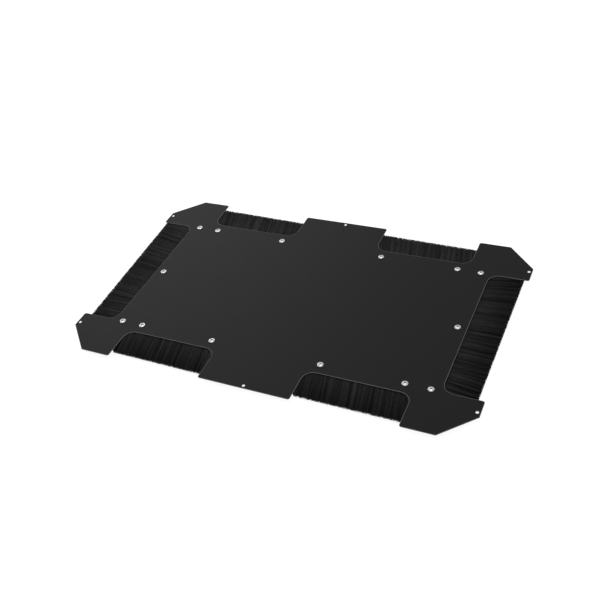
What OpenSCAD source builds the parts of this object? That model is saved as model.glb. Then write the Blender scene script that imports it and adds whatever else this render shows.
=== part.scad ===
// Flat panel for the end of a rack, with cable notches around its rim that are closed by brush strips.
// Under the sheet, each notch has a rail that holds a crimped strip brush, bolted through the sheet.
// Origin: middle of the sheet's underside. +X runs along the panel, +Y to its back edge, +Z up.

/* [Sheet] */
// Length of the panel, along X
panel_l = 975; // [950:1:1200]
// Width of the panel, along Y
panel_w = 596; // [560:1:800]
// Thickness of the steel sheet
plate_t = 1.5; // [1:0.1:3]
// Leg of the 45 degree cut at each corner
corner_cut = 67; // [20:1:75]
// Radius on the outer corners of the tabs
tab_r = 5; // [1:0.5:8]

/* [Cable notches] */
// Width of the middle tab, between the two notches of a long side
mid_tab_w = 220; // [160:1:260]
// Length of a corner tab along the long side, from the short edge to the notch
corner_tab_l = 141.5; // [138:0.5:170]
// Width of a corner tab along the short side, from the long edge to the notch
corner_tab_w = 109.75; // [100:0.25:140]
// Depth of the notches in the long sides
long_notch_d = 85.5; // [60:0.5:100]
// Depth of the notches in the short sides
short_notch_d = 89; // [60:0.5:92]
// Radius in the inner corners of the notches
notch_r = 25; // [5:1:40]

/* [Mounting holes] */
// Diameter of the mounting holes near the rim
mount_d = 6.4; // [3:0.1:8]
// Distance from the rim to a mounting hole's centre
mount_inset = 7.5; // [6:0.25:12]
// Distance of the corner holes from the long edge's line
corner_hole_in = 78.25; // [74:0.25:95]

/* [Strip fixing] */
// Distance from a long side's notch in to its line of screws
long_screw_back = 24.3; // [23:0.1:40]
// Distance from a short side's notch in to its line of screws
short_screw_back = 21.2; // [20:0.1:24]
// Distance along a long side from the end of its notch in to the end screw
long_screw_in = 23.75; // [0:0.25:60]
// Distance along a short side from the end of its notch in to the end screw
short_screw_in = 0; // [0:0.25:60]
// Number of screws in each long side strip
long_screws = 2; // [2:1:4]
// Number of screws in each short side strip
short_screws = 3; // [2:1:5]

/* [Rail] */
// Wall thickness of the rail
rail_wall = 1.2; // [1:0.1:2.5]
// Distance from the screw line to the back of the rail
rail_back = 9; // [8:0.1:12]
// Distance from the screw line to the mouth of the rail
rail_front = 19.2; // [17:0.1:20]
// Height of the lips and stops that keep the brush in the rail
rail_lip_h = 0.6; // [0.3:0.1:0.7]
// Thickness of the lips and stops
rail_lip_t = 1.5; // [0.8:0.1:2]
// How far a long side rail runs past its notch at each end
long_rail_lap = 18.5; // [10:0.5:20]
// How far a short side rail runs past its notch at each end
short_rail_lap = 10; // [7:0.5:20]

/* [Strip brush] */
// Thickness of the bristle pack where it is held
brush_t = 5; // [4:0.1:7]
// Thickness of the bristle pack at its tips
brush_tip_t = 7.2; // [5:0.1:9]
// Wall thickness of the crimped backing
backing_wall = 0.6; // [0.5:0.1:1.2]
// Depth of the crimped backing
backing_d = 8; // [6:0.1:8.5]
// Outer radius of the fold of the backing
backing_fold_r = 2; // [1.3:0.1:2.8]
// Diameter of the core wire that the bristles are folded over
wire_d = 2; // [1:0.1:2.4]
// How far a long side brush stops short of its rail's ends
long_brush_stop = 1; // [0:0.5:5]
// How far a short side brush stops short of its rail's ends
short_brush_stop = 6; // [0:0.5:7]
// Width of one tuft of bristles
tuft_w = 6; // [4:0.5:12]
// Height of the ridge that one tuft makes at its tip
tuft_ridge = 0.8; // [0.3:0.1:1.5]
// How much longer or shorter a tuft may be than its neighbours
tuft_ragged = 1; // [0:0.1:2]

/* [Bristle tips and lean, at the left and right end of each brush seen from inside] */
// Distance of the back left brush's tips from the panel's edge
back_left_tips = [19, 25.5]; // [5:0.5:40]
// Distance of the back right brush's tips from the panel's edge
back_right_tips = [23.5, 28]; // [5:0.5:40]
// Distance of the front left brush's tips from the panel's edge
front_left_tips = [17.5, 20]; // [5:0.5:40]
// Distance of the front right brush's tips from the panel's edge
front_right_tips = [18, 19.5]; // [5:0.5:40]
// Distance of the left brush's tips from the panel's edge
left_tips = [18.5, 5.5]; // [5:0.5:40]
// Distance of the right brush's tips from the panel's edge
right_tips = [13.5, 16.5]; // [5:0.5:40]
// Lean to the left of the bristles of the four long side brushes, in degrees
long_lean = 13; // [0:1:14]
// Lean to the left of the left brush's bristles, in degrees
left_lean = [0, -13]; // [-15:1:15]
// Lean to the left of the right brush's bristles, in degrees
right_lean = [11, -10]; // [-15:1:15]

/* [Screws and nuts] */
// Thread diameter of the screws
screw_d = 6; // [4:1:8]
// Length of the screws under the head
screw_l = 20; // [19:0.5:25]
// Diameter of the screw head's flange
head_d = 13.6; // [12:0.1:16]
// Thickness of the screw head's flange
head_flange_t = 1; // [0.5:0.1:1.5]
// Diameter of the screw head's dome
dome_d = 11.2; // [8:0.1:12]
// Height of the screw head
head_h = 3.3; // [2.6:0.1:4]
// Width across the flats of the hex socket
socket_af = 4; // [3:0.5:5]
// Depth of the hex socket
socket_deep = 2.1; // [1:0.1:2.4]
// Width across the flats of the nut
nut_af = 10; // [10:0.5:13]
// Height of the nut with its flange
nut_h = 6; // [5:0.1:7]
// Diameter of the nut's flange
nut_flange_d = 14.2; // [13:0.1:15.5]
// Thickness of the nut's flange at its rim
nut_flange_t = 1.2; // [0.8:0.1:2]

/* [Clearances] */
// Radial clearance of the screws in the sheet and the rails
hole_gap = 0.2; // [0.1:0.05:0.5]
// Clearance of the brush's backing in the rail, on each side
slide_gap = 0.2; // [0.1:0.05:0.3]
// Radial clearance of the core wire and of the nuts' threads
fit_gap = 0.05; // [0.02:0.01:0.1]

/* [Hidden] */
$fn = 64;
hole_r = screw_d / 2 + hole_gap;
cut = 1; // how far a cutter runs past the face that it cuts
edge_l = panel_l / 2;
edge_w = panel_w / 2;
long_notch_w = edge_l - mid_tab_w / 2 - corner_tab_l;
long_notch_x = mid_tab_w / 2 + long_notch_w / 2;
short_notch_w = panel_w - 2 * corner_tab_w;
backing_h = brush_t + 2 * backing_wall;
rail_gap_h = backing_h + 2 * slide_gap;
rail_h = rail_gap_h + 2 * rail_wall;
rail_mid_z = -rail_h / 2;
backing_front = rail_front - rail_lip_t - slide_gap;
backing_back = backing_front - backing_d;
pack_back = backing_back + backing_wall;
wire_y = pack_back + brush_t / 2;
screw_chamfer = 0.7;
nut_chamfer = 0.6;

// Places of n screws, evenly spaced from -reach to reach
function spread(n, reach) = [for (i = [0 : n - 1]) reach * (2 * i / (n - 1) - 1)];

// One row for each strip: its name, its turn about Z, the place of its notch along the side, the distance of
// the side from the panel's middle, the notch's width and depth, the distance of the screw line from the
// panel's middle, the screws' places along it, the lengths of rail and brush, and the tips and lean of the
// bristles at the brush's left and right end
function long_strip(name, turn, along, tips) = [
    name, turn, along, edge_w, long_notch_w, long_notch_d, edge_w - long_notch_d - long_screw_back,
    spread(long_screws, long_notch_w / 2 - long_screw_in),
    long_notch_w + 2 * long_rail_lap, long_notch_w + 2 * (long_rail_lap - long_brush_stop),
    tips, [long_lean, long_lean]
];
function short_strip(name, turn, tips, lean) = [
    name, turn, 0, edge_l, short_notch_w, short_notch_d, edge_l - short_notch_d - short_screw_back,
    spread(short_screws, short_notch_w / 2 - short_screw_in),
    short_notch_w + 2 * short_rail_lap, short_notch_w + 2 * (short_rail_lap - short_brush_stop),
    tips, lean
];
strips = [
    long_strip("back_left", 0, -long_notch_x, back_left_tips),
    long_strip("back_right", 0, long_notch_x, back_right_tips),
    long_strip("front_left", 180, long_notch_x, front_left_tips),
    long_strip("front_right", 180, -long_notch_x, front_right_tips),
    short_strip("left", 90, left_tips, left_lean),
    short_strip("right", 270, right_tips, right_lean)
];
function name_of(s) = s[0];
function turn_of(s) = s[1];
function along_of(s) = s[2];
function edge_of(s) = s[3];
function notch_w_of(s) = s[4];
function notch_d_of(s) = s[5];
function screw_line_of(s) = s[6];
function screws_of(s) = s[7];
function rail_l_of(s) = s[8];
function brush_l_of(s) = s[9];
function tips_of(s) = s[10];
function lean_of(s) = s[11];

// A strip's own frame: X along the notch, Y outwards from the screw line, Z up from the sheet's underside
module at_strip(s) {
    rotate([0, 0, turn_of(s)]) translate([along_of(s), screw_line_of(s), 0]) children();
}

// A section drawn in Y and Z, drawn out along X about the middle of the rail's height
module along_strip(s, length) {
    at_strip(s) translate([-length / 2, 0, rail_mid_z]) rotate([90, 0, 90]) linear_extrude(length) children();
}

// The opening of a notch from its mouth at Y = 0 inwards, with the corners of the tabs beside it rounded
module notch_shape(width, depth) {
    translate([notch_r - width / 2, -depth]) square([width - 2 * notch_r, depth + cut]);
    translate([-width / 2, notch_r - depth]) square([width, depth - notch_r + cut]);
    for (side = [0, 1]) mirror([side, 0]) {
        translate([width / 2 - notch_r, notch_r - depth]) circle(notch_r);
        translate([width / 2, -tab_r]) difference() {
            translate([-cut, 0]) square([tab_r + cut, tab_r + cut]);
            translate([tab_r, 0]) circle(tab_r);
        }
    }
}

module panel_shape() {
    difference() {
        square([panel_l, panel_w], center = true);
        for (x = [-1, 1], y = [-1, 1])
            translate([x * edge_l, y * edge_w]) rotate(45) square(corner_cut * sqrt(2), center = true);
    }
}

module base_plate() {
    color("#2c2c2d") difference() {
        linear_extrude(plate_t) difference() {
            panel_shape();
            for (s = strips) rotate(turn_of(s)) translate([along_of(s), edge_of(s)])
                notch_shape(notch_w_of(s), notch_d_of(s));
        }
        for (s = strips, x = screws_of(s))
            at_strip(s) translate([x, 0, -cut]) cylinder(r = hole_r, h = plate_t + 2 * cut);
        for (x = [-1, 1], y = [-1, 1])
            translate([x * (edge_l - mount_inset), y * (edge_w - corner_hole_in), -cut])
                cylinder(d = mount_d, h = plate_t + 2 * cut);
        for (y = [-1, 1])
            translate([0, y * (edge_w - mount_inset), -cut]) cylinder(d = mount_d, h = plate_t + 2 * cut);
    }
}

// C section, open outwards, with lips at its mouth and stops behind the brush
module rail_shape() {
    narrow_h = rail_gap_h - 2 * rail_lip_h;
    stop_front = backing_back - slide_gap;
    difference() {
        translate([-rail_back, -rail_h / 2]) square([rail_back + rail_front, rail_h]);
        translate([rail_wall - rail_back, -narrow_h / 2]) square([rail_back + rail_front, narrow_h]);
        translate([rail_wall - rail_back, -rail_gap_h / 2])
            square([rail_back - rail_wall + stop_front - rail_lip_t, rail_gap_h]);
        translate([stop_front, -rail_gap_h / 2]) square([backing_d + 2 * slide_gap, rail_gap_h]);
    }
}

module rail(s) {
    color("#a9abad") difference() {
        along_strip(s, rail_l_of(s)) rail_shape();
        for (x = screws_of(s))
            at_strip(s) translate([x, 0, -rail_h - cut]) cylinder(r = hole_r, h = rail_h + 2 * cut);
    }
}

// A bar that lies along Y from 0, with the two corners at its back rounded
module rounded_back(length, height, r) {
    translate([r, -height / 2]) square([length - r, height]);
    translate([0, r - height / 2]) square([length, height - 2 * r]);
    for (side = [-1, 1]) translate([r, side * (height / 2 - r)]) circle(r);
}

module backing(s) {
    color("#8f9193") along_strip(s, brush_l_of(s)) translate([backing_back, 0]) difference() {
        rounded_back(backing_d, backing_h, backing_fold_r);
        translate([backing_wall, 0]) rounded_back(backing_d, brush_t, backing_fold_r - backing_wall);
    }
}

module core_wire(s) {
    color("#77797b") along_strip(s, brush_l_of(s)) translate([wire_y, 0]) circle(d = wire_d);
}

// The bristles, folded over the core wire in the backing: inside the rail the pack is flat, and outside each
// tuft is a ridge that grows towards its tip, where the tufts lean, fan out and end as the strip's row says
module pack(s) {
    n = ceil(brush_l_of(s) / tuft_w);
    last = 2 * n; // crests of the ridges are at the odd steps, valleys at the even ones
    ragged = rands(-tuft_ragged, tuft_ragged, n, turn_of(s) + sign(along_of(s)));
    tip_line = edge_of(s) - screw_line_of(s);
    fold_r = backing_fold_r - backing_wall;
    half_l = brush_l_of(s) / 2;
    function at(pair, i) = pair[0] + (pair[1] - pair[0]) * i / last;
    function root_x(i) = half_l * (2 * i / last - 1);
    function tip_y(i) = tip_line - at(tips_of(s), i) + (i % 2 == 1 ? ragged[(i - 1) / 2] : -tuft_ragged);
    function tip_x(i) = root_x(i) - tan(at(lean_of(s), i)) * (tip_y(i) - rail_front);
    function tip_z(i) = brush_tip_t / 2 - (i % 2 == 1 ? 0 : tuft_ridge);
    // The back of the fold, from above to below: two quarter rounds
    fold = [for (a = [90 : 30 : 270])
        [pack_back + fold_r + fold_r * cos(a), (brush_t / 2 - fold_r) * (a < 180 ? 1 : a > 180 ? -1 : 0) + fold_r * sin(a)]];
    bend = len(fold);
    ring = 2 * last + 2; // along the top to the right, then along the underside back to the left
    points = concat(
        [for (i = [0 : last]) [root_x(i), rail_front, brush_t / 2]],
        [for (i = [last : -1 : 0]) [root_x(i), rail_front, -brush_t / 2]],
        [for (i = [0 : last]) [tip_x(i), tip_y(i), tip_z(i)]],
        [for (i = [last : -1 : 0]) [tip_x(i), tip_y(i), -tip_z(i)]],
        [for (p = fold) [-half_l, p[0], p[1]]],
        [for (p = fold) [half_l, p[0], p[1]]]
    );
    left = 2 * ring; // first point of the fold at the left end, and at the right end
    right = left + bend;
    faces = concat(
        [for (i = [0 : ring - 1]) [i, i + ring, (i + 1) % ring + ring]],
        [for (i = [0 : ring - 1]) [i, (i + 1) % ring + ring, (i + 1) % ring]],
        [for (i = [0 : last - 1]) [ring + i, 2 * ring - 1 - i, 2 * ring - 2 - i]],
        [for (i = [0 : last - 1]) [ring + i, 2 * ring - 2 - i, ring + i + 1]],
        [for (i = [0 : last - 1]) [left, i, i + 1]],
        [[left, last, right]],
        [for (i = [0 : last - 1]) [right + bend - 1, last + 1 + i, last + 2 + i]],
        [[right + bend - 1, ring - 1, left + bend - 1]],
        [for (i = [0 : bend - 2]) [left + i, right + i, right + i + 1]],
        [for (i = [0 : bend - 2]) [left + i, right + i + 1, left + i + 1]],
        [[ring - 1, 0, for (i = [0 : bend - 1]) left + i]],
        [[last, last + 1, for (i = [bend - 1 : -1 : 0]) right + i]]
    );
    polyhedron(points, faces);
}

module bristles(s) {
    color("#1a1a1b") difference() {
        at_strip(s) translate([0, 0, rail_mid_z]) pack(s);
        along_strip(s, brush_l_of(s) + 2 * cut) translate([wire_y, 0]) circle(d = wire_d + 2 * fit_gap);
    }
}

module hexagon(across_flats, height) {
    cylinder(d = across_flats / cos(30), h = height, $fn = 6);
}

// Flanged button head screw, pushed in from above
module screw(s, i) {
    dome_h = head_h - head_flange_t;
    dome_r = (pow(dome_d / 2, 2) + pow(dome_h, 2)) / (2 * dome_h);
    color("#c9c8c4") at_strip(s) translate([screws_of(s)[i], 0, plate_t]) difference() {
        union() {
            rotate_extrude() {
                square([head_d / 2, head_flange_t]);
                intersection() {
                    translate([0, head_h - dome_r]) circle(dome_r);
                    square([dome_d / 2, head_h]);
                }
            }
            rotate_extrude() polygon([
                [0, -screw_l], [screw_d / 2 - screw_chamfer, -screw_l], [screw_d / 2, screw_chamfer - screw_l],
                [screw_d / 2, head_flange_t], [0, head_flange_t]
            ]);
        }
        translate([0, 0, head_h - socket_deep]) hexagon(socket_af, socket_deep + cut);
    }
}

// Hexagon nut with a flange, run up against the underside of the rail
module nut(s, i) {
    bore_r = screw_d / 2 + fit_gap;
    corner_r = nut_af / cos(30) / 2;
    color("#b4b5b6") at_strip(s) translate([screws_of(s)[i], 0, -rail_h]) mirror([0, 0, 1]) difference() {
        union() {
            cylinder(d = nut_flange_d, h = nut_flange_t);
            intersection() {
                hexagon(nut_af, nut_h);
                rotate_extrude() polygon([
                    [0, 0], [corner_r, 0], [corner_r, nut_h - nut_chamfer], [corner_r - nut_chamfer, nut_h], [0, nut_h]
                ]);
            }
        }
        translate([0, 0, -cut]) cylinder(r = bore_r, h = nut_h + 2 * cut);
    }
}

base_plate();
for (s = strips) {
    rail(s);
    backing(s);
    core_wire(s);
    bristles(s);
    for (i = [1 : len(screws_of(s))]) {
        screw(s, i - 1);
        nut(s, i - 1);
    }
}
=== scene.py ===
import math
import random

import bmesh
import bpy
import numpy as np
from mathutils import Matrix, Vector


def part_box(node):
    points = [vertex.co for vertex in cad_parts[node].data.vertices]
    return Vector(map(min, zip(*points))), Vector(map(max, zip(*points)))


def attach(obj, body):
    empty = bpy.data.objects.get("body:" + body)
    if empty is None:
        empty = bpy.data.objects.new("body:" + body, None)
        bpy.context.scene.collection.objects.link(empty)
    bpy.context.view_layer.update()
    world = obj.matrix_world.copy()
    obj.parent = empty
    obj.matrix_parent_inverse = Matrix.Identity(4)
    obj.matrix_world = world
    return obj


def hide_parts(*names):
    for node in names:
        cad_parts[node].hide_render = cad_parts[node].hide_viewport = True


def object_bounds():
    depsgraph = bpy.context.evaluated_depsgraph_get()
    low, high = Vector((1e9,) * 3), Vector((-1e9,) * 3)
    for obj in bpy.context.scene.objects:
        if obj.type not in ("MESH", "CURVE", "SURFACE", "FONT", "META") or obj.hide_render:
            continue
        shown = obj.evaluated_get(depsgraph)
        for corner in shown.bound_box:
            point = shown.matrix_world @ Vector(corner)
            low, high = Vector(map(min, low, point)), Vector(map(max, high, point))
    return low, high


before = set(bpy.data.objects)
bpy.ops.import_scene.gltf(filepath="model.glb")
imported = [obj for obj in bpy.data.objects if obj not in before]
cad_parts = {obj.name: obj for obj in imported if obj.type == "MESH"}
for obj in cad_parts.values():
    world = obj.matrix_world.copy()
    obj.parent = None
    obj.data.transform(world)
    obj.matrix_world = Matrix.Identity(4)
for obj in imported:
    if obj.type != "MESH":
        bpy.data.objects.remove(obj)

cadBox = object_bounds()  # the model's box before anything is added
mm = 0.001
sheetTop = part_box("base_plate")[1].z
sides = {  # how far each strip is turned from the back of the panel
    "back_left": 0, "back_right": 0, "front_left": 180, "front_right": 180, "left": 90, "right": 270,
}


def turned(side):  # carries a strip's own X (along the brush) and Y (outwards) to its side of the panel
    return Matrix.Rotation(math.radians(sides[side]), 4, "Z")


def cadPoints(node, turn):  # a node's vertices, seen in a strip's own axes
    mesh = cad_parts[node].data
    points = np.empty(len(mesh.vertices) * 3)
    mesh.vertices.foreach_get("co", points)
    return points.reshape(-1, 3) @ np.array(turn.to_3x3())


def nodesOf(ending):
    return sorted(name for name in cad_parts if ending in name)


def middleOf(node):
    low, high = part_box(node)
    return Vector(((low.x + high.x) / 2, (low.y + high.y) / 2, 0))


def finishPiece(piece, node):
    bpy.context.scene.collection.objects.link(piece)
    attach(piece, "root")
    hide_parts(node)


def meshPiece(name, bm, material, smooth=True):
    for face in bm.faces:
        face.smooth = smooth
    mesh = bpy.data.meshes.new(name)
    bm.to_mesh(mesh)
    bm.free()
    mesh.materials.append(material)
    return bpy.data.objects.new(name, mesh)


def keepFlatsFlat(piece):  # large faces keep their own normals and only the rounded edges blend
    normals = piece.modifiers.new("normals", "WEIGHTED_NORMAL")
    normals.weight = 90
    normals.keep_sharp = True


def newGroup(name, inputs, outputs):
    group = bpy.data.node_groups.new(name, "ShaderNodeTree")
    for label, kind, value in inputs:
        socket = group.interface.new_socket(label, in_out="INPUT", socket_type=kind)
        socket.default_value = value
    for label, kind in outputs:
        group.interface.new_socket(label, in_out="OUTPUT", socket_type=kind)
    return group, group.nodes.new("NodeGroupInput"), group.nodes.new("NodeGroupOutput")


def add(tree, kind, **settings):  # a node with its sockets or its own settings filled in
    node = tree.nodes.new(kind)
    for key, value in settings.items():
        if key in node.inputs:
            node.inputs[key].default_value = value
        else:
            setattr(node, key, value)
    return node


def makeGrainGroup():  # soft blotches and fine grain of a coated or cast surface, as a height and a mask
    group, given, result = newGroup(
        "surfaceGrain",
        [
            ("Vector", "NodeSocketVector", (0, 0, 0)),
            ("Peel Scale", "NodeSocketFloat", 700),
            ("Grain Scale", "NodeSocketFloat", 3000),
            ("Blotch Scale", "NodeSocketFloat", 12),
            ("Grain Share", "NodeSocketFloat", 0.4),
        ],
        [("Height", "NodeSocketFloat"), ("Blotch", "NodeSocketFloat")],
    )
    link = group.links.new
    peel = add(group, "ShaderNodeTexNoise", Detail=2.0)
    grain = add(group, "ShaderNodeTexNoise", Detail=1.0)
    blotch = add(group, "ShaderNodeTexNoise", Detail=4.0)
    for node, scale in ((peel, "Peel Scale"), (grain, "Grain Scale"), (blotch, "Blotch Scale")):
        link(given.outputs["Vector"], node.inputs["Vector"])
        link(given.outputs[scale], node.inputs["Scale"])
    both = add(group, "ShaderNodeMix")
    link(given.outputs["Grain Share"], both.inputs["Factor"])
    link(peel.outputs["Fac"], both.inputs["A"])
    link(grain.outputs["Fac"], both.inputs["B"])
    link(both.outputs["Result"], result.inputs["Height"])
    link(blotch.outputs["Fac"], result.inputs["Blotch"])
    return group


def makeDrawnGroup():  # fine parallel lines that run along X, as on extruded, rolled or drawn metal
    group, given, result = newGroup(
        "drawnLines",
        [
            ("Vector", "NodeSocketVector", (0, 0, 0)),
            ("Lines", "NodeSocketFloat", 1500),
            ("Stretch", "NodeSocketFloat", 0.01),
        ],
        [("Height", "NodeSocketFloat"), ("Lines", "NodeSocketFloat")],
    )
    link = group.links.new
    split = add(group, "ShaderNodeSeparateXYZ")
    squeeze = add(group, "ShaderNodeMath", operation="MULTIPLY")
    join = add(group, "ShaderNodeCombineXYZ")
    fine = add(group, "ShaderNodeTexNoise", Detail=3.0, Roughness=0.6)
    link(given.outputs["Vector"], split.inputs["Vector"])
    link(split.outputs["X"], squeeze.inputs[0])
    link(given.outputs["Stretch"], squeeze.inputs[1])
    link(squeeze.outputs["Value"], join.inputs["X"])
    link(split.outputs["Y"], join.inputs["Y"])
    link(split.outputs["Z"], join.inputs["Z"])
    link(join.outputs["Vector"], fine.inputs["Vector"])
    link(given.outputs["Lines"], fine.inputs["Scale"])
    link(fine.outputs["Fac"], result.inputs["Height"])
    link(fine.outputs["Fac"], result.inputs["Lines"])
    return group


grainGroup = makeGrainGroup()
drawnGroup = makeDrawnGroup()


def newMaterial(name):
    material = bpy.data.materials.new(name)
    material.use_nodes = True
    tree = material.node_tree
    return material, tree, tree.nodes["Principled BSDF"]


def placeGroup(tree, group, turn=0, **settings):  # a group on the piece's own coordinates
    node = tree.nodes.new("ShaderNodeGroup")
    node.node_tree = group
    for key, value in settings.items():
        node.inputs[key].default_value = value
    where = add(tree, "ShaderNodeTexCoord")
    mapping = add(tree, "ShaderNodeMapping", Rotation=(0, 0, math.radians(turn)))
    tree.links.new(where.outputs["Object"], mapping.inputs["Vector"])
    tree.links.new(mapping.outputs["Vector"], node.inputs["Vector"])
    return node


def spread(tree, mask, low, high, target):  # a mask mapped to the range of a value
    reach = add(tree, "ShaderNodeMapRange")
    reach.inputs["To Min"].default_value = low
    reach.inputs["To Max"].default_value = high
    tree.links.new(mask, reach.inputs["Value"])
    tree.links.new(reach.outputs["Result"], target)


def tint(tree, mask, dark, light, target):  # a mask mapped to a blend of two colours
    blend = add(tree, "ShaderNodeMix", data_type="RGBA")
    blend.inputs["A"].default_value = (*dark, 1)
    blend.inputs["B"].default_value = (*light, 1)
    tree.links.new(mask, blend.inputs["Factor"])
    tree.links.new(blend.outputs["Result"], target)
    return blend


def roughen(tree, height, strength, distance, shader):
    bump = add(tree, "ShaderNodeBump", Strength=strength, Distance=distance)
    tree.links.new(height, bump.inputs["Height"])
    tree.links.new(bump.outputs["Normal"], shader.inputs["Normal"])


powderCoat = {
    "dark": (0.0038, 0.0038, 0.0039),
    "light": (0.0050, 0.0050, 0.0051),
    "edge": (0.16, 0.16, 0.16),  # painted highlight on cut edges
    "roughness": (0.5, 0.56),
    "specular": 0.1,
    "peel": 900,
    "peelShare": 0.35,
    "bump": 0.12,
    "depth": 0.05 * mm,
}


def makePowderCoat():  # satin black, with fine orange peel and a lighter colour painted on the cut edges as their highlight
    look = powderCoat
    material, tree, shader = newMaterial("blackPowderCoat")
    grain = placeGroup(tree, grainGroup, **{"Peel Scale": look["peel"], "Grain Share": look["peelShare"]})
    base = tint(tree, grain.outputs["Blotch"], look["dark"], look["light"], shader.inputs["Base Color"])
    # the edge attribute blends the coat towards the edge colour: a painted highlight on rounded edges, cut
    # faces and the band beside rims
    edge = add(tree, "ShaderNodeAttribute", attribute_name="edge")
    paintedEdgeHighlight = tint(tree, edge.outputs["Fac"], look["dark"], look["edge"], shader.inputs["Base Color"])
    tree.links.new(base.outputs["Result"], paintedEdgeHighlight.inputs["A"])
    spread(tree, grain.outputs["Blotch"], *look["roughness"], shader.inputs["Roughness"])
    shader.inputs["Specular IOR Level"].default_value = look["specular"]
    roughen(tree, grain.outputs["Height"], look["bump"], look["depth"], shader)
    return material


nylon = {
    "dark": (0.0008, 0.0008, 0.0008),
    "light": (0.032, 0.032, 0.0323),
    "roughness": (0.38, 0.6),
    "specular": 0.1,
}


def makeNylon():  # black filaments, each tuft and filament with its own random tone, plus painted shade deeper in the pack, towards clump borders and on the dense middle
    look = nylon
    material, tree, shader = newMaterial("blackNylon")
    strand = add(tree, "ShaderNodeAttribute", attribute_name="strand")
    smoothest, roughest = look["roughness"]
    tint(tree, strand.outputs["Fac"], look["dark"], look["light"], shader.inputs["Base Color"])
    spread(tree, strand.outputs["Fac"], roughest, smoothest, shader.inputs["Roughness"])
    shader.inputs["Specular IOR Level"].default_value = look["specular"]
    return material


metals = {  # bare metals under the sheet, with the scale of the lines that run along them
    "rail": {
        "name": "extrudedAluminium",
        "dark": (0.6, 0.61, 0.62),
        "light": (0.74, 0.745, 0.75),
        "roughness": (0.3, 0.45),
        "lines": 1400,
    },
    "backing": {
        "name": "zincStrip",
        "dark": (0.42, 0.43, 0.44),
        "light": (0.55, 0.56, 0.57),
        "roughness": (0.4, 0.55),
        "lines": 800,
    },
    "wire": {
        "name": "drawnWire",
        "dark": (0.3, 0.3, 0.31),
        "light": (0.42, 0.42, 0.43),
        "roughness": (0.35, 0.5),
        "lines": 3000,
    },
}


def makeMetal(look, turn):
    material, tree, shader = newMaterial(f"{look['name']}{turn}")
    drawn = placeGroup(tree, drawnGroup, turn, Lines=look["lines"], Stretch=0.01)
    tint(tree, drawn.outputs["Lines"], look["dark"], look["light"], shader.inputs["Base Color"])
    spread(tree, drawn.outputs["Lines"], *look["roughness"], shader.inputs["Roughness"])
    shader.inputs["Metallic"].default_value = 1
    roughen(tree, drawn.outputs["Height"], 0.15, 0.02 * mm, shader)
    return material


screwPlating = {
    "dark": (0.36, 0.355, 0.325),
    "light": (0.52, 0.515, 0.48),
    "hollow": (0.06, 0.06, 0.055),  # painted shade in the socket
    "roughness": (0.22, 0.36),
}
nutPlating = {
    "dark": (0.5, 0.51, 0.53),
    "light": (0.66, 0.67, 0.69),
    # the same painted shade for hollows
    "hollow": (0.06, 0.06, 0.055),
    "roughness": (0.32, 0.46),
}


def makePlated(name, look):  # zinc or nickel plated steel with a soft, slightly uneven sheen
    material, tree, shader = newMaterial(name)
    settings = {"Peel Scale": 1500, "Blotch Scale": 160, "Grain Share": 0.5}
    grain = placeGroup(tree, grainGroup, **settings)
    plain = tint(tree, grain.outputs["Blotch"], look["dark"], look["light"], shader.inputs["Base Color"])
    # the hollow attribute blends the plating towards a dark colour inside the socket: painted shade
    hollow = add(tree, "ShaderNodeAttribute", attribute_name="hollow")
    dim = tint(tree, hollow.outputs["Fac"], look["dark"], look["hollow"], shader.inputs["Base Color"])
    tree.links.new(plain.outputs["Result"], dim.inputs["A"])
    spread(tree, grain.outputs["Blotch"], *look["roughness"], shader.inputs["Roughness"])
    shader.inputs["Metallic"].default_value = 1
    roughen(tree, grain.outputs["Height"], 0.1, 0.02 * mm, shader)
    return material


powderMaterial = makePowderCoat()
nylonMaterial = makeNylon()
screwMaterial = makePlated("platedScrewSteel", screwPlating)
nutMaterial = makePlated("zincNutSteel", nutPlating)
metalMaterials = {  # one for strips along X and one for strips along Y
    part: {turn: makeMetal(look, turn) for turn in (0, 90)} for part, look in metals.items()
}
print("stage: materials ready")


edges = {
    "sheet": 0.42 * mm,  # rounding of the sheet's edges
    "band": 0.5 * mm,  # width of the painted highlight band beside rims and holes
    "bandShade": 0.5,  # how much of the edge's painted highlight the band takes
    "wallShade": 0.35,  # the same for the cut faces
    "rail": 0.2 * mm,
    "backing": 0.12 * mm,
}


def softened(name, node, material, width, segments, band=0):  # the CAD shape with its edges rounded
    bm = bmesh.new()
    bm.from_mesh(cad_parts[node].data)
    edge = bm.faces.layers.float.new("edge")
    bmesh.ops.remove_doubles(bm, verts=bm.verts, dist=0.001 * mm)
    bmesh.ops.dissolve_limit(bm, angle_limit=math.radians(0.2), verts=bm.verts, edges=bm.edges)
    sharp = [e for e in bm.edges if len(e.link_faces) == 2 and e.calc_face_angle() > math.radians(50)]
    made = bmesh.ops.bevel(
        bm, geom=sharp, offset=width, segments=segments, profile=0.5, affect="EDGES", material=-1
    )
    # the edge attribute marks the painted highlight: full on the rounded edges, part on the cut faces and on
    # the band beside rims
    for face in bm.faces:
        face[edge] = edges["wallShade"] if abs(face.normal.z) < 0.2 else 0
    for face in made["faces"]:
        face[edge] = 1
    if band:
        top = [face for face in bm.faces if face.normal.z > 0.99]
        for face in bmesh.ops.inset_region(bm, faces=top, thickness=band, depth=0)["faces"]:
            face[edge] = edges["bandShade"]
    piece = meshPiece(name, bm, material)
    keepFlatsFlat(piece)
    finishPiece(piece, node)


softened("panelSheet", "base_plate", powderMaterial, edges["sheet"], 2, edges["band"])
for side, turn in sides.items():
    own = {part: materials[turn % 180] for part, materials in metalMaterials.items()}
    softened(f"{side}Rail", f"{side}_rail", own["rail"], edges["rail"], 2)
    softened(f"{side}Backing", f"{side}_backing", own["backing"], edges["backing"], 1)
    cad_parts[f"{side}_core_wire"].material_slots[0].material = own["wire"]
print("stage: sheet, rails, backings and wires")


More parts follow.
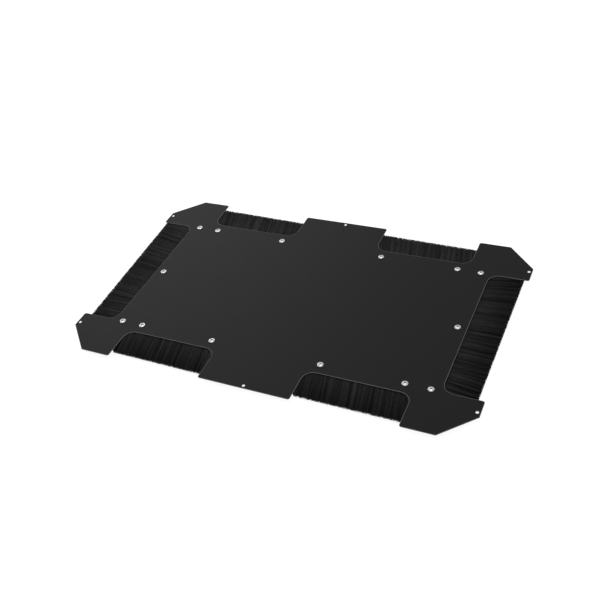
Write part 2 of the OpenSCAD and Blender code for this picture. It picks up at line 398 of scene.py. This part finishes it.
bristleLook = {
    "perMillimetre": (11, 8),  # filaments above and below, for each millimetre of brush
    "radius": (0.2 * mm, 0.14 * mm),  # at root and tip
    "start": 2 * mm,  # how far inside the rail's mouth the filaments begin
    "margin": 0.3 * mm,  # clear of the rail's ends
    "steps": (0.035, 0.09),  # where a filament bends, as shares of its length
    "rises": (0.05, 0.8),  # how much of its climb it has made there
    "loft": 0.5 * mm,  # how far the loose top filaments stand over the solid
    "clump": (3 * mm, 12 * mm),  # narrowest and widest clump
    "tuft": (0.8 * mm, 3 * mm),  # the same for the tufts that cross inside a clump
    "gather": 0.05,  # how far the tips draw together in their clump
    "shift": 0.7 * mm,  # how far a clump leans away from its neighbours
    "bow": 0.35 * mm,  # how far a clump bends sideways
    "stray": 0.35 * mm,  # sideways wander of a tip
    "rise": 0.4 * mm,  # height difference between clumps at the tips
    "skin": 1.4 * mm,  # depth of the layer that is modelled as single filaments
    "reach": 1.2 * mm,  # how far the longest filaments pass the solid's tip line
    "ragged": 0.15 * mm,  # how uneven the cut tips are
    "slab": 0.55,  # thickness of the dense middle, as a share of the whole
    "slabBack": 0.2 * mm,  # how far the dense middle stops short of the tips
}
tipZone = 20 * mm  # past this distance from the mouth a solid has only its tips


def filamentTemplate():  # a thin three-sided prism from 0 to 1 along Y, cut where it may bend
    bm = bmesh.new()
    bmesh.ops.create_cone(bm, segments=3, radius1=1, radius2=1, depth=1, cap_ends=True)
    bmesh.ops.rotate(bm, verts=bm.verts, cent=(0, 0, 0), matrix=Matrix.Rotation(math.radians(-90), 3, "X"))
    bmesh.ops.translate(bm, verts=bm.verts, vec=(0, 0.5, 0))
    for step in bristleLook["steps"]:
        everything = bm.verts[:] + bm.edges[:] + bm.faces[:]
        bmesh.ops.bisect_plane(bm, geom=everything, plane_co=(0, step, 0), plane_no=(0, 1, 0))
    bmesh.ops.recalc_face_normals(bm, faces=bm.faces)
    bm.verts.index_update()
    points = np.array([vert.co for vert in bm.verts])
    faces = [[vert.index for vert in face.verts] for face in bm.faces]
    bm.free()
    return points, faces


def repeatMesh(name, points, faces):  # points has one row of template vertices for each copy
    copies, count = points.shape[:2]
    mesh = bpy.data.meshes.new(name)
    mesh.vertices.add(copies * count)
    mesh.vertices.foreach_set("co", points.reshape(-1).astype(np.float32))
    loops = np.concatenate([np.array(face) for face in faces])
    sizes = np.array([len(face) for face in faces])
    offsets = np.arange(copies)[:, None]
    mesh.loops.add(copies * len(loops))
    mesh.loops.foreach_set("vertex_index", (loops[None, :] + offsets * count).reshape(-1))
    mesh.polygons.add(copies * len(faces))
    starts = np.concatenate([[0], np.cumsum(sizes)[:-1]])
    mesh.polygons.foreach_set("loop_start", (starts[None, :] + offsets * len(loops)).reshape(-1))
    mesh.update(calc_edges=True)
    mesh.validate()
    return mesh


def brushLines(side):  # where the bristles leave the rail and where they end, read off the CAD solid
    turn = turned(side)
    rail = cadPoints(f"{side}_rail", turn)
    brush = cadPoints(f"{side}_bristles", turn)
    mouth = rail[:, 1].max()
    middle = (rail[:, 2].max() + rail[:, 2].min()) / 2
    above = brush[brush[:, 2] > middle]
    roots = above[np.abs(above[:, 1] - mouth) < 0.05 * mm]
    tips = above[above[:, 1] > mouth + tipZone]
    rootX = np.unique(np.round(roots[:, 0], 6))
    order = np.unique(np.round(tips, 6), axis=0)
    order = order[np.argsort(order[:, 0])]
    steps = min(len(rootX), len(order))
    rootX, order = rootX[:steps], order[:steps]
    crests = order[1::2]
    return {
        "turn": turn,
        "mouth": mouth,
        "middle": middle,
        "rootX": (rootX[0], rootX[-1]),
        "tipShift": np.polyfit(rootX[1::2], crests[:, 0] - rootX[1::2], 1),
        "tipY": np.polyfit(rootX[1::2], crests[:, 1], 1),
        "rootZ": roots[:, 2].max() - middle,
        "tipZ": crests[:, 2].max() - middle,
    }


def clumpPlan(rng, low, high, narrow, wide):  # uneven clumps along the brush, each with its own habit
    cuts = [low]
    while cuts[-1] < high:
        cuts.append(cuts[-1] + rng.uniform(narrow, wide) * rng.uniform(0.5, 1))
    count = len(cuts) - 1
    return {
        "cuts": np.array(cuts),
        "shade": rng.beta(0.8, 1.1, count),
        "shift": rng.normal(0, bristleLook["shift"], count),
        "rise": rng.uniform(-1, 1, count),
        "bow": rng.normal(0, bristleLook["bow"], count),
    }


def placeIn(plan, x):  # the number of the clump that each filament stands in
    return np.clip(np.searchsorted(plan["cuts"], x) - 1, 0, len(plan["shade"]) - 1)


def layerPoints(rng, lines, count, upper, template):  # all filaments of one face of the brush
    look = bristleLook
    low, high = lines["rootX"]
    clumps = clumpPlan(rng, low, high, *look["clump"])
    rootX = rng.uniform(low + look["margin"], high - look["margin"], count)
    clump = placeIn(clumps, rootX)
    start, end = clumps["cuts"][clump], clumps["cuts"][clump + 1]
    across = (rootX - (start + end) / 2) / (end - start) * 2  # from -1 to 1 over the clump
    tufts = clumpPlan(rng, low, high, *look["tuft"])
    tuft = placeIn(tufts, rootX)
    depth = rng.random(count) ** 2  # 0 at the surface of the brush, 1 at the dense middle

    tipX = rootX + np.polyval(lines["tipShift"], rootX)
    tipX += clumps["shift"][clump] - across * (end - start) / 2 * look["gather"] * (1 - depth)
    tipX += tufts["shift"][tuft] + rng.normal(0, look["stray"], count)
    tipY = np.polyval(lines["tipY"], rootX) + look["reach"] - np.abs(rng.normal(0, look["ragged"], count))
    face = 1 if upper else -1
    sink = depth * look["skin"]
    crown = (1 - across ** 2) * 0.4 + clumps["rise"][clump] * 0.3 + tufts["rise"][tuft] * 0.3
    rootZ = lines["middle"] + face * (lines["rootZ"] - 0.1 * mm - sink)
    tipZ = lines["middle"] + face * (lines["tipZ"] + look["loft"] - look["rise"] * (1 - crown) - sink)

    along = template[:, 1][None, :]
    inside = lines["mouth"] - look["start"]
    bow = np.sin(along * math.pi) * clumps["bow"][clump][:, None]
    climb = np.interp(along, (0, *look["steps"], 1), (0, *look["rises"], 1))
    x = rootX[:, None] + (tipX - rootX)[:, None] * along + bow
    y = inside + (tipY - inside)[:, None] * along
    z = rootZ[:, None] + (tipZ - rootZ)[:, None] * climb
    radius = look["radius"][0] + (look["radius"][1] - look["radius"][0]) * along
    spin = rng.uniform(0, 2 * math.pi, count)[:, None]
    u, v = template[:, 0][None, :], template[:, 2][None, :]
    x = x + radius * (u * np.cos(spin) - v * np.sin(spin))
    z = z + radius * (u * np.sin(spin) + v * np.cos(spin))

    # painted shade: filaments darker towards a clump's borders and deeper in the pack, over the random tone
    # of clumps and tufts
    shade = 0.5 * clumps["shade"][clump] * (1 - 0.8 * np.abs(across) ** 3) + 0.5 * tufts["shade"][tuft]
    shade = np.clip(shade * (1 - 0.7 * depth) + rng.normal(0, 0.1, count), 0, 1)
    return np.stack([x, y, z], axis=2), shade


def denseMiddle(side, lines):  # the CAD pack, thinned where the filaments cover it
    look = bristleLook
    bm = bmesh.new()
    bm.from_mesh(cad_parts[f"{side}_bristles"].data)
    bmesh.ops.remove_doubles(bm, verts=bm.verts, dist=0.001 * mm)
    back = lines["turn"].inverted()
    for vert in bm.verts:
        place = back @ vert.co
        if place.y > lines["mouth"] - 0.5 * mm:
            place.z = lines["middle"] + (place.z - lines["middle"]) * look["slab"]
            if place.y > lines["mouth"] + tipZone:
                place.y = np.polyval(lines["tipY"], place.x) - look["slabBack"]
            vert.co = lines["turn"] @ place
    return bm


def makeBristles(side, seed, template, faces):
    rng = np.random.default_rng(seed)
    lines = brushLines(side)
    length = (lines["rootX"][1] - lines["rootX"][0]) / mm
    layers = [
        layerPoints(rng, lines, int(length * amount), upper, template)
        for amount, upper in zip(bristleLook["perMillimetre"], (True, False))
    ]
    points = np.concatenate([layer[0] for layer in layers])
    shades = np.concatenate([layer[1] for layer in layers])
    points = points @ np.array(lines["turn"].to_3x3()).T
    strands = repeatMesh(f"{side}Strands", points, faces)
    strand = strands.attributes.new("strand", "FLOAT", "POINT")
    strand.data.foreach_set("value", np.repeat(shades, template.shape[0]).astype(np.float32))
    bm = denseMiddle(side, lines)
    # the dense middle keeps the value 0, the darkest colour, as painted shade of the pack's core
    bm.verts.layers.float.new("strand")
    bm.from_mesh(strands)
    piece = meshPiece(f"{side}Bristles", bm, nylonMaterial)
    bpy.data.meshes.remove(strands)
    finishPiece(piece, f"{side}_bristles")


template, templateFaces = filamentTemplate()
for number, side in enumerate(sides):
    makeBristles(side, 41 + number, template, templateFaces)
print("stage: bristles")


screwLook = {
    "around": 48,  # steps round the head, a multiple of six
    "height": 3.3 * mm,
    "flange": 1 * mm,  # thickness of the flange under the dome
    "dome": 11.2 * mm,  # diameter of the dome
    "shank": 3 * mm,  # radius of the thread
    "rim": 0.25 * mm,  # rounding of the flange's edge
    "socket": 4 * mm,  # across the flats
    "socketDeep": 2.1 * mm,
    "drill": 0.6 * mm,  # depth of the drill's cone under the socket
    "lead": 0.35 * mm,  # width of the chamfer into the socket
    "pitch": 1 * mm,
    "threadDeep": 0.6 * mm,
    "threadSteps": 24,  # steps in one turn of the thread
    "point": 0.7 * mm,  # chamfer at the screw's end
    "pointStep": 0.1 * mm,  # how far the end lies under the thread's root
    "bury": 0.3 * mm,  # how far the thread runs up into the head
}
weld = 0.0005 * mm


def spun(bm, outline, around):  # a chain of points in X and Z, turned fully about Z
    verts = [bm.verts.new((x, 0, z)) for x, z in outline]
    chain = [bm.edges.new(pair) for pair in zip(verts, verts[1:])]
    bmesh.ops.spin(
        bm, geom=verts + chain, cent=(0, 0, 0), axis=(0, 0, 1), dvec=(0, 0, 0),
        angle=2 * math.pi, steps=around, use_merge=True,
    )
    bmesh.ops.remove_doubles(bm, verts=bm.verts, dist=weld)


def arc(centreX, centreZ, radius, start, end, steps):  # points on an arc in X and Z, angles in degrees
    angles = [math.radians(start + (end - start) * i / steps) for i in range(steps + 1)]
    return [(centreX + radius * math.cos(a), centreZ + radius * math.sin(a)) for a in angles]


def hexPoint(angle, flats, height):  # a point on the side of a hexagon
    reach = flats / 2 / math.cos((angle + math.pi / 6) % (math.pi / 3) - math.pi / 6)
    return Vector((reach * math.cos(angle), reach * math.sin(angle), height))


def openLoop(bm, height):  # open edges near one height
    return [e for e in bm.edges if e.is_boundary and all(abs(v.co.z - height) < 0.01 * mm for v in e.verts)]


def pullLoop(bm, loop, place):  # the open edge drawn out to a new ring
    made = bmesh.ops.extrude_edge_only(bm, edges=loop)["geom"]
    for vert in made:
        if isinstance(vert, bmesh.types.BMVert):
            vert.co = place(math.atan2(vert.co.y, vert.co.x), vert.co)
    return [item for item in made if isinstance(item, bmesh.types.BMEdge) and item.is_boundary]


def headOutline(radius):  # flange, then a low dome up to the socket
    look = screwLook
    rim, flange, height, domeRadius = look["rim"], look["flange"], look["height"], look["dome"] / 2
    ball = (domeRadius ** 2 + (height - flange) ** 2) / (2 * (height - flange))
    mouth = look["socket"] / math.sqrt(3) + look["lead"]
    start = math.degrees(math.acos(domeRadius / ball))
    end = math.degrees(math.acos(mouth / ball))
    points = [(0, 0), (radius - rim, 0)]
    points += arc(radius - rim, rim, rim, -90, 0, 3)[1:]
    points += arc(radius - rim, flange - rim, rim, 0, 90, 3)
    points += arc(0, height - ball, ball, start, end, 8)
    return points


def threadMesh(top, bottom):
    look = screwLook
    bm = bmesh.new()
    radius, pitch, deep, step = look["shank"], look["pitch"], look["threadDeep"], look["pointStep"]
    root = radius - deep
    low = bottom - pitch
    profile = [(root, 0), (root, pitch / 8), (radius, pitch * 0.45), (radius, pitch * 0.575), (root, pitch)]
    verts = [bm.verts.new((x, 0, low + z)) for x, z in profile]
    chain = [bm.edges.new(pair) for pair in zip(verts, verts[1:])]
    turns = math.ceil((top - bottom) / pitch) + 2
    bmesh.ops.spin(
        bm, geom=verts + chain, cent=(0, 0, 0), axis=(0, 0, 1),
        dvec=(0, 0, pitch / look["threadSteps"]),
        angle=2 * math.pi * turns, steps=look["threadSteps"] * turns, use_merge=False,
    )
    bmesh.ops.remove_doubles(bm, verts=bm.verts, dist=4 * weld)
    for height, normal in ((top, (0, 0, 1)), (bottom, (0, 0, -1))):
        everything = bm.verts[:] + bm.edges[:] + bm.faces[:]
        bmesh.ops.bisect_plane(
            bm, geom=everything, plane_co=(0, 0, height), plane_no=normal, clear_outer=True
        )
    bmesh.ops.remove_doubles(bm, verts=bm.verts, dist=4 * weld)
    for vert in bm.verts:  # the point of the screw is chamfered
        reach = math.hypot(vert.co.x, vert.co.y)
        limit = root - step + (vert.co.z - bottom) * (deep + step) / look["point"]
        if reach > limit:
            vert.co.x *= limit / reach
            vert.co.y *= limit / reach
    for height in (top, bottom):
        loop = openLoop(bm, height)
        if loop:
            bmesh.ops.contextual_create(bm, geom=loop)
    bmesh.ops.recalc_face_normals(bm, faces=bm.faces)
    mesh = bpy.data.meshes.new("thread")
    bm.to_mesh(mesh)
    bm.free()
    return mesh


def makeScrewMesh(node):  # one screw at the origin, its seat at height 0
    look = screwLook
    low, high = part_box(node)
    bm = bmesh.new()
    spun(bm, headOutline((high.x - low.x) / 2), look["around"])
    mouthHeight = max(v.co.z for v in bm.verts)
    floorHeight = look["height"] - look["socketDeep"]
    flats = look["socket"]
    cone = flats * 0.42
    loop = openLoop(bm, mouthHeight)
    loop = pullLoop(bm, loop, lambda a, co: hexPoint(a, flats, mouthHeight - look["lead"] * 0.6))
    loop = pullLoop(bm, loop, lambda a, co: Vector((co.x, co.y, floorHeight)))
    loop = pullLoop(bm, loop, lambda a, co: Vector((
        cone * math.cos(a), cone * math.sin(a), floorHeight - 0.05 * mm)))
    pullLoop(bm, loop, lambda a, co: Vector((0, 0, floorHeight - look["drill"])))
    # faces inside the socket are marked for painted shade
    hollow = bm.faces.layers.float.new("hollow")
    for face in bm.faces:
        within = face.calc_center_median().to_2d().length < flats * 0.65
        foot = min(vert.co.z for vert in face.verts)
        face[hollow] = 1 if within and 0 < foot < mouthHeight - look["lead"] else 0
    bmesh.ops.remove_doubles(bm, verts=bm.verts, dist=weld)
    thread = threadMesh(look["bury"], low.z - sheetTop)
    bm.from_mesh(thread)
    bpy.data.meshes.remove(thread)
    bmesh.ops.recalc_face_normals(bm, faces=bm.faces)
    return bm


def makeScrews():
    random.seed(7)
    for node in nodesOf("_screw_"):
        bm = makeScrewMesh(node)
        turn = Matrix.Rotation(random.uniform(0, 2 * math.pi), 4, "Z")
        place = Matrix.Translation(middleOf(node) + Vector((0, 0, sheetTop)))
        bmesh.ops.transform(bm, matrix=place @ turn, verts=bm.verts)
        piece = meshPiece(node.replace("_s", "S").replace("_", ""), bm, screwMaterial)
        piece.data.set_sharp_from_angle(angle=math.radians(35))
        finishPiece(piece, node)


makeScrews()
print("stage: screws")

for node in nodesOf("_nut_"):
    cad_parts[node].material_slots[0].material = nutMaterial
print("stage: nuts")


studio = {
    "world": 0.55,
    "floorHeight": cadBox[0].z,
    "floorSize": 12,
    "floorGlow": 0.92,
    "floorColour": 0.2,
    "lamps": {  # place, point aimed at, size and power
        "softboxLeft": ((-2.2, 1.9, 1.9), (-0.3, 0, 0), (2.4, 1.6), 30),
        "softboxTop": ((0.3, -0.6, 2.6), (0, 0, 0), (2.0, 2.0), 34),
    },
}


def seenDirectly(tree):  # 1 for camera, glossy and transmission rays
    path = add(tree, "ShaderNodeLightPath")
    first = add(tree, "ShaderNodeMath", operation="MAXIMUM")
    second = add(tree, "ShaderNodeMath", operation="MAXIMUM")
    tree.links.new(path.outputs["Is Camera Ray"], first.inputs[0])
    tree.links.new(path.outputs["Is Glossy Ray"], first.inputs[1])
    tree.links.new(first.outputs["Value"], second.inputs[0])
    tree.links.new(path.outputs["Is Transmission Ray"], second.inputs[1])
    return second.outputs["Value"]


def mixShaders(tree, mask, first, second, target):
    mix = add(tree, "ShaderNodeMixShader")
    tree.links.new(mask, mix.inputs["Fac"])
    tree.links.new(first, mix.inputs[1])
    tree.links.new(second, mix.inputs[2])
    tree.links.new(mix.outputs["Shader"], target)


def makeWorld():
    world = bpy.data.worlds.new("studio")
    world.use_nodes = True
    tree = world.node_tree
    plain = tree.nodes["Background"]
    plain.inputs["Color"].default_value = (1, 1, 1, 1)
    plain.inputs["Strength"].default_value = studio["world"]
    white = add(tree, "ShaderNodeBackground", Strength=1.0)
    white.inputs["Color"].default_value = (1, 1, 1, 1)
    surface = tree.nodes["World Output"].inputs["Surface"]
    mixShaders(tree, seenDirectly(tree), plain.outputs["Background"], white.outputs["Background"], surface)
    bpy.context.scene.world = world


def makeFloor():
    bm = bmesh.new()
    bmesh.ops.create_grid(bm, x_segments=1, y_segments=1, size=studio["floorSize"] / 2)
    bmesh.ops.translate(bm, verts=bm.verts, vec=(0, 0, studio["floorHeight"]))
    material, tree, shader = newMaterial("paleFloor")
    shader.inputs["Base Color"].default_value = (*[studio["floorColour"]] * 3, 1)
    shader.inputs["Roughness"].default_value = 0.9
    shader.inputs["Specular IOR Level"].default_value = 0
    shader.inputs["Emission Color"].default_value = (1, 1, 1, 1)
    glow = add(tree, "ShaderNodeMath", operation="MULTIPLY")
    glow.inputs[1].default_value = studio["floorGlow"]
    tree.links.new(seenDirectly(tree), glow.inputs[0])
    tree.links.new(glow.outputs["Value"], shader.inputs["Emission Strength"])
    below = add(tree, "ShaderNodeNewGeometry").outputs["Backfacing"]  # the floor is clear from below
    clear = add(tree, "ShaderNodeBsdfTransparent").outputs["BSDF"]
    surface = tree.nodes["Material Output"].inputs["Surface"]
    mixShaders(tree, below, shader.outputs["BSDF"], clear, surface)
    floor = meshPiece("floor", bm, material)
    bpy.context.scene.collection.objects.link(floor)


def areaLamp(name, place, aim, size, power):
    data = bpy.data.lights.new(name, "AREA")
    data.shape = "RECTANGLE"
    data.size, data.size_y = size
    data.energy = power
    lamp = bpy.data.objects.new(name, data)
    lamp.location = place
    lamp.rotation_euler = (Vector(aim) - Vector(place)).to_track_quat("-Z", "Y").to_euler()
    lamp.visible_camera = False
    bpy.context.scene.collection.objects.link(lamp)


makeWorld()
makeFloor()
for name, settings in studio["lamps"].items():
    areaLamp(name, *settings)

cameraView = {
    "target": (5.063 * mm, -8.289 * mm, sheetTop),
    "azimuth": 31.116,
    "elevation": 40.436,
    "roll": -10.594,
    "distance": 1946.29 * mm,
    "lens": 50.288,
}


def makeCamera():
    look = cameraView
    azimuth, elevation = math.radians(look["azimuth"]), math.radians(look["elevation"])
    flat = math.cos(elevation)
    back = Vector((math.sin(azimuth) * flat, -math.cos(azimuth) * flat, math.sin(elevation)))
    data = bpy.data.cameras.new("camera")
    data.sensor_width = 36
    data.lens = look["lens"]
    data.clip_start, data.clip_end = 0.05, 50
    camera = bpy.data.objects.new("camera", data)
    roll = Matrix.Rotation(math.radians(look["roll"]), 3, "Z")
    turn = (-back).to_track_quat("-Z", "Y").to_matrix() @ roll
    camera.matrix_world = Matrix.Translation(Vector(look["target"]) + back * look["distance"]) @ turn.to_4x4()
    bpy.context.scene.collection.objects.link(camera)
    bpy.context.scene.camera = camera


makeCamera()
bpy.context.scene.view_settings.view_transform = "Standard"
print("stage: floor, light and camera")
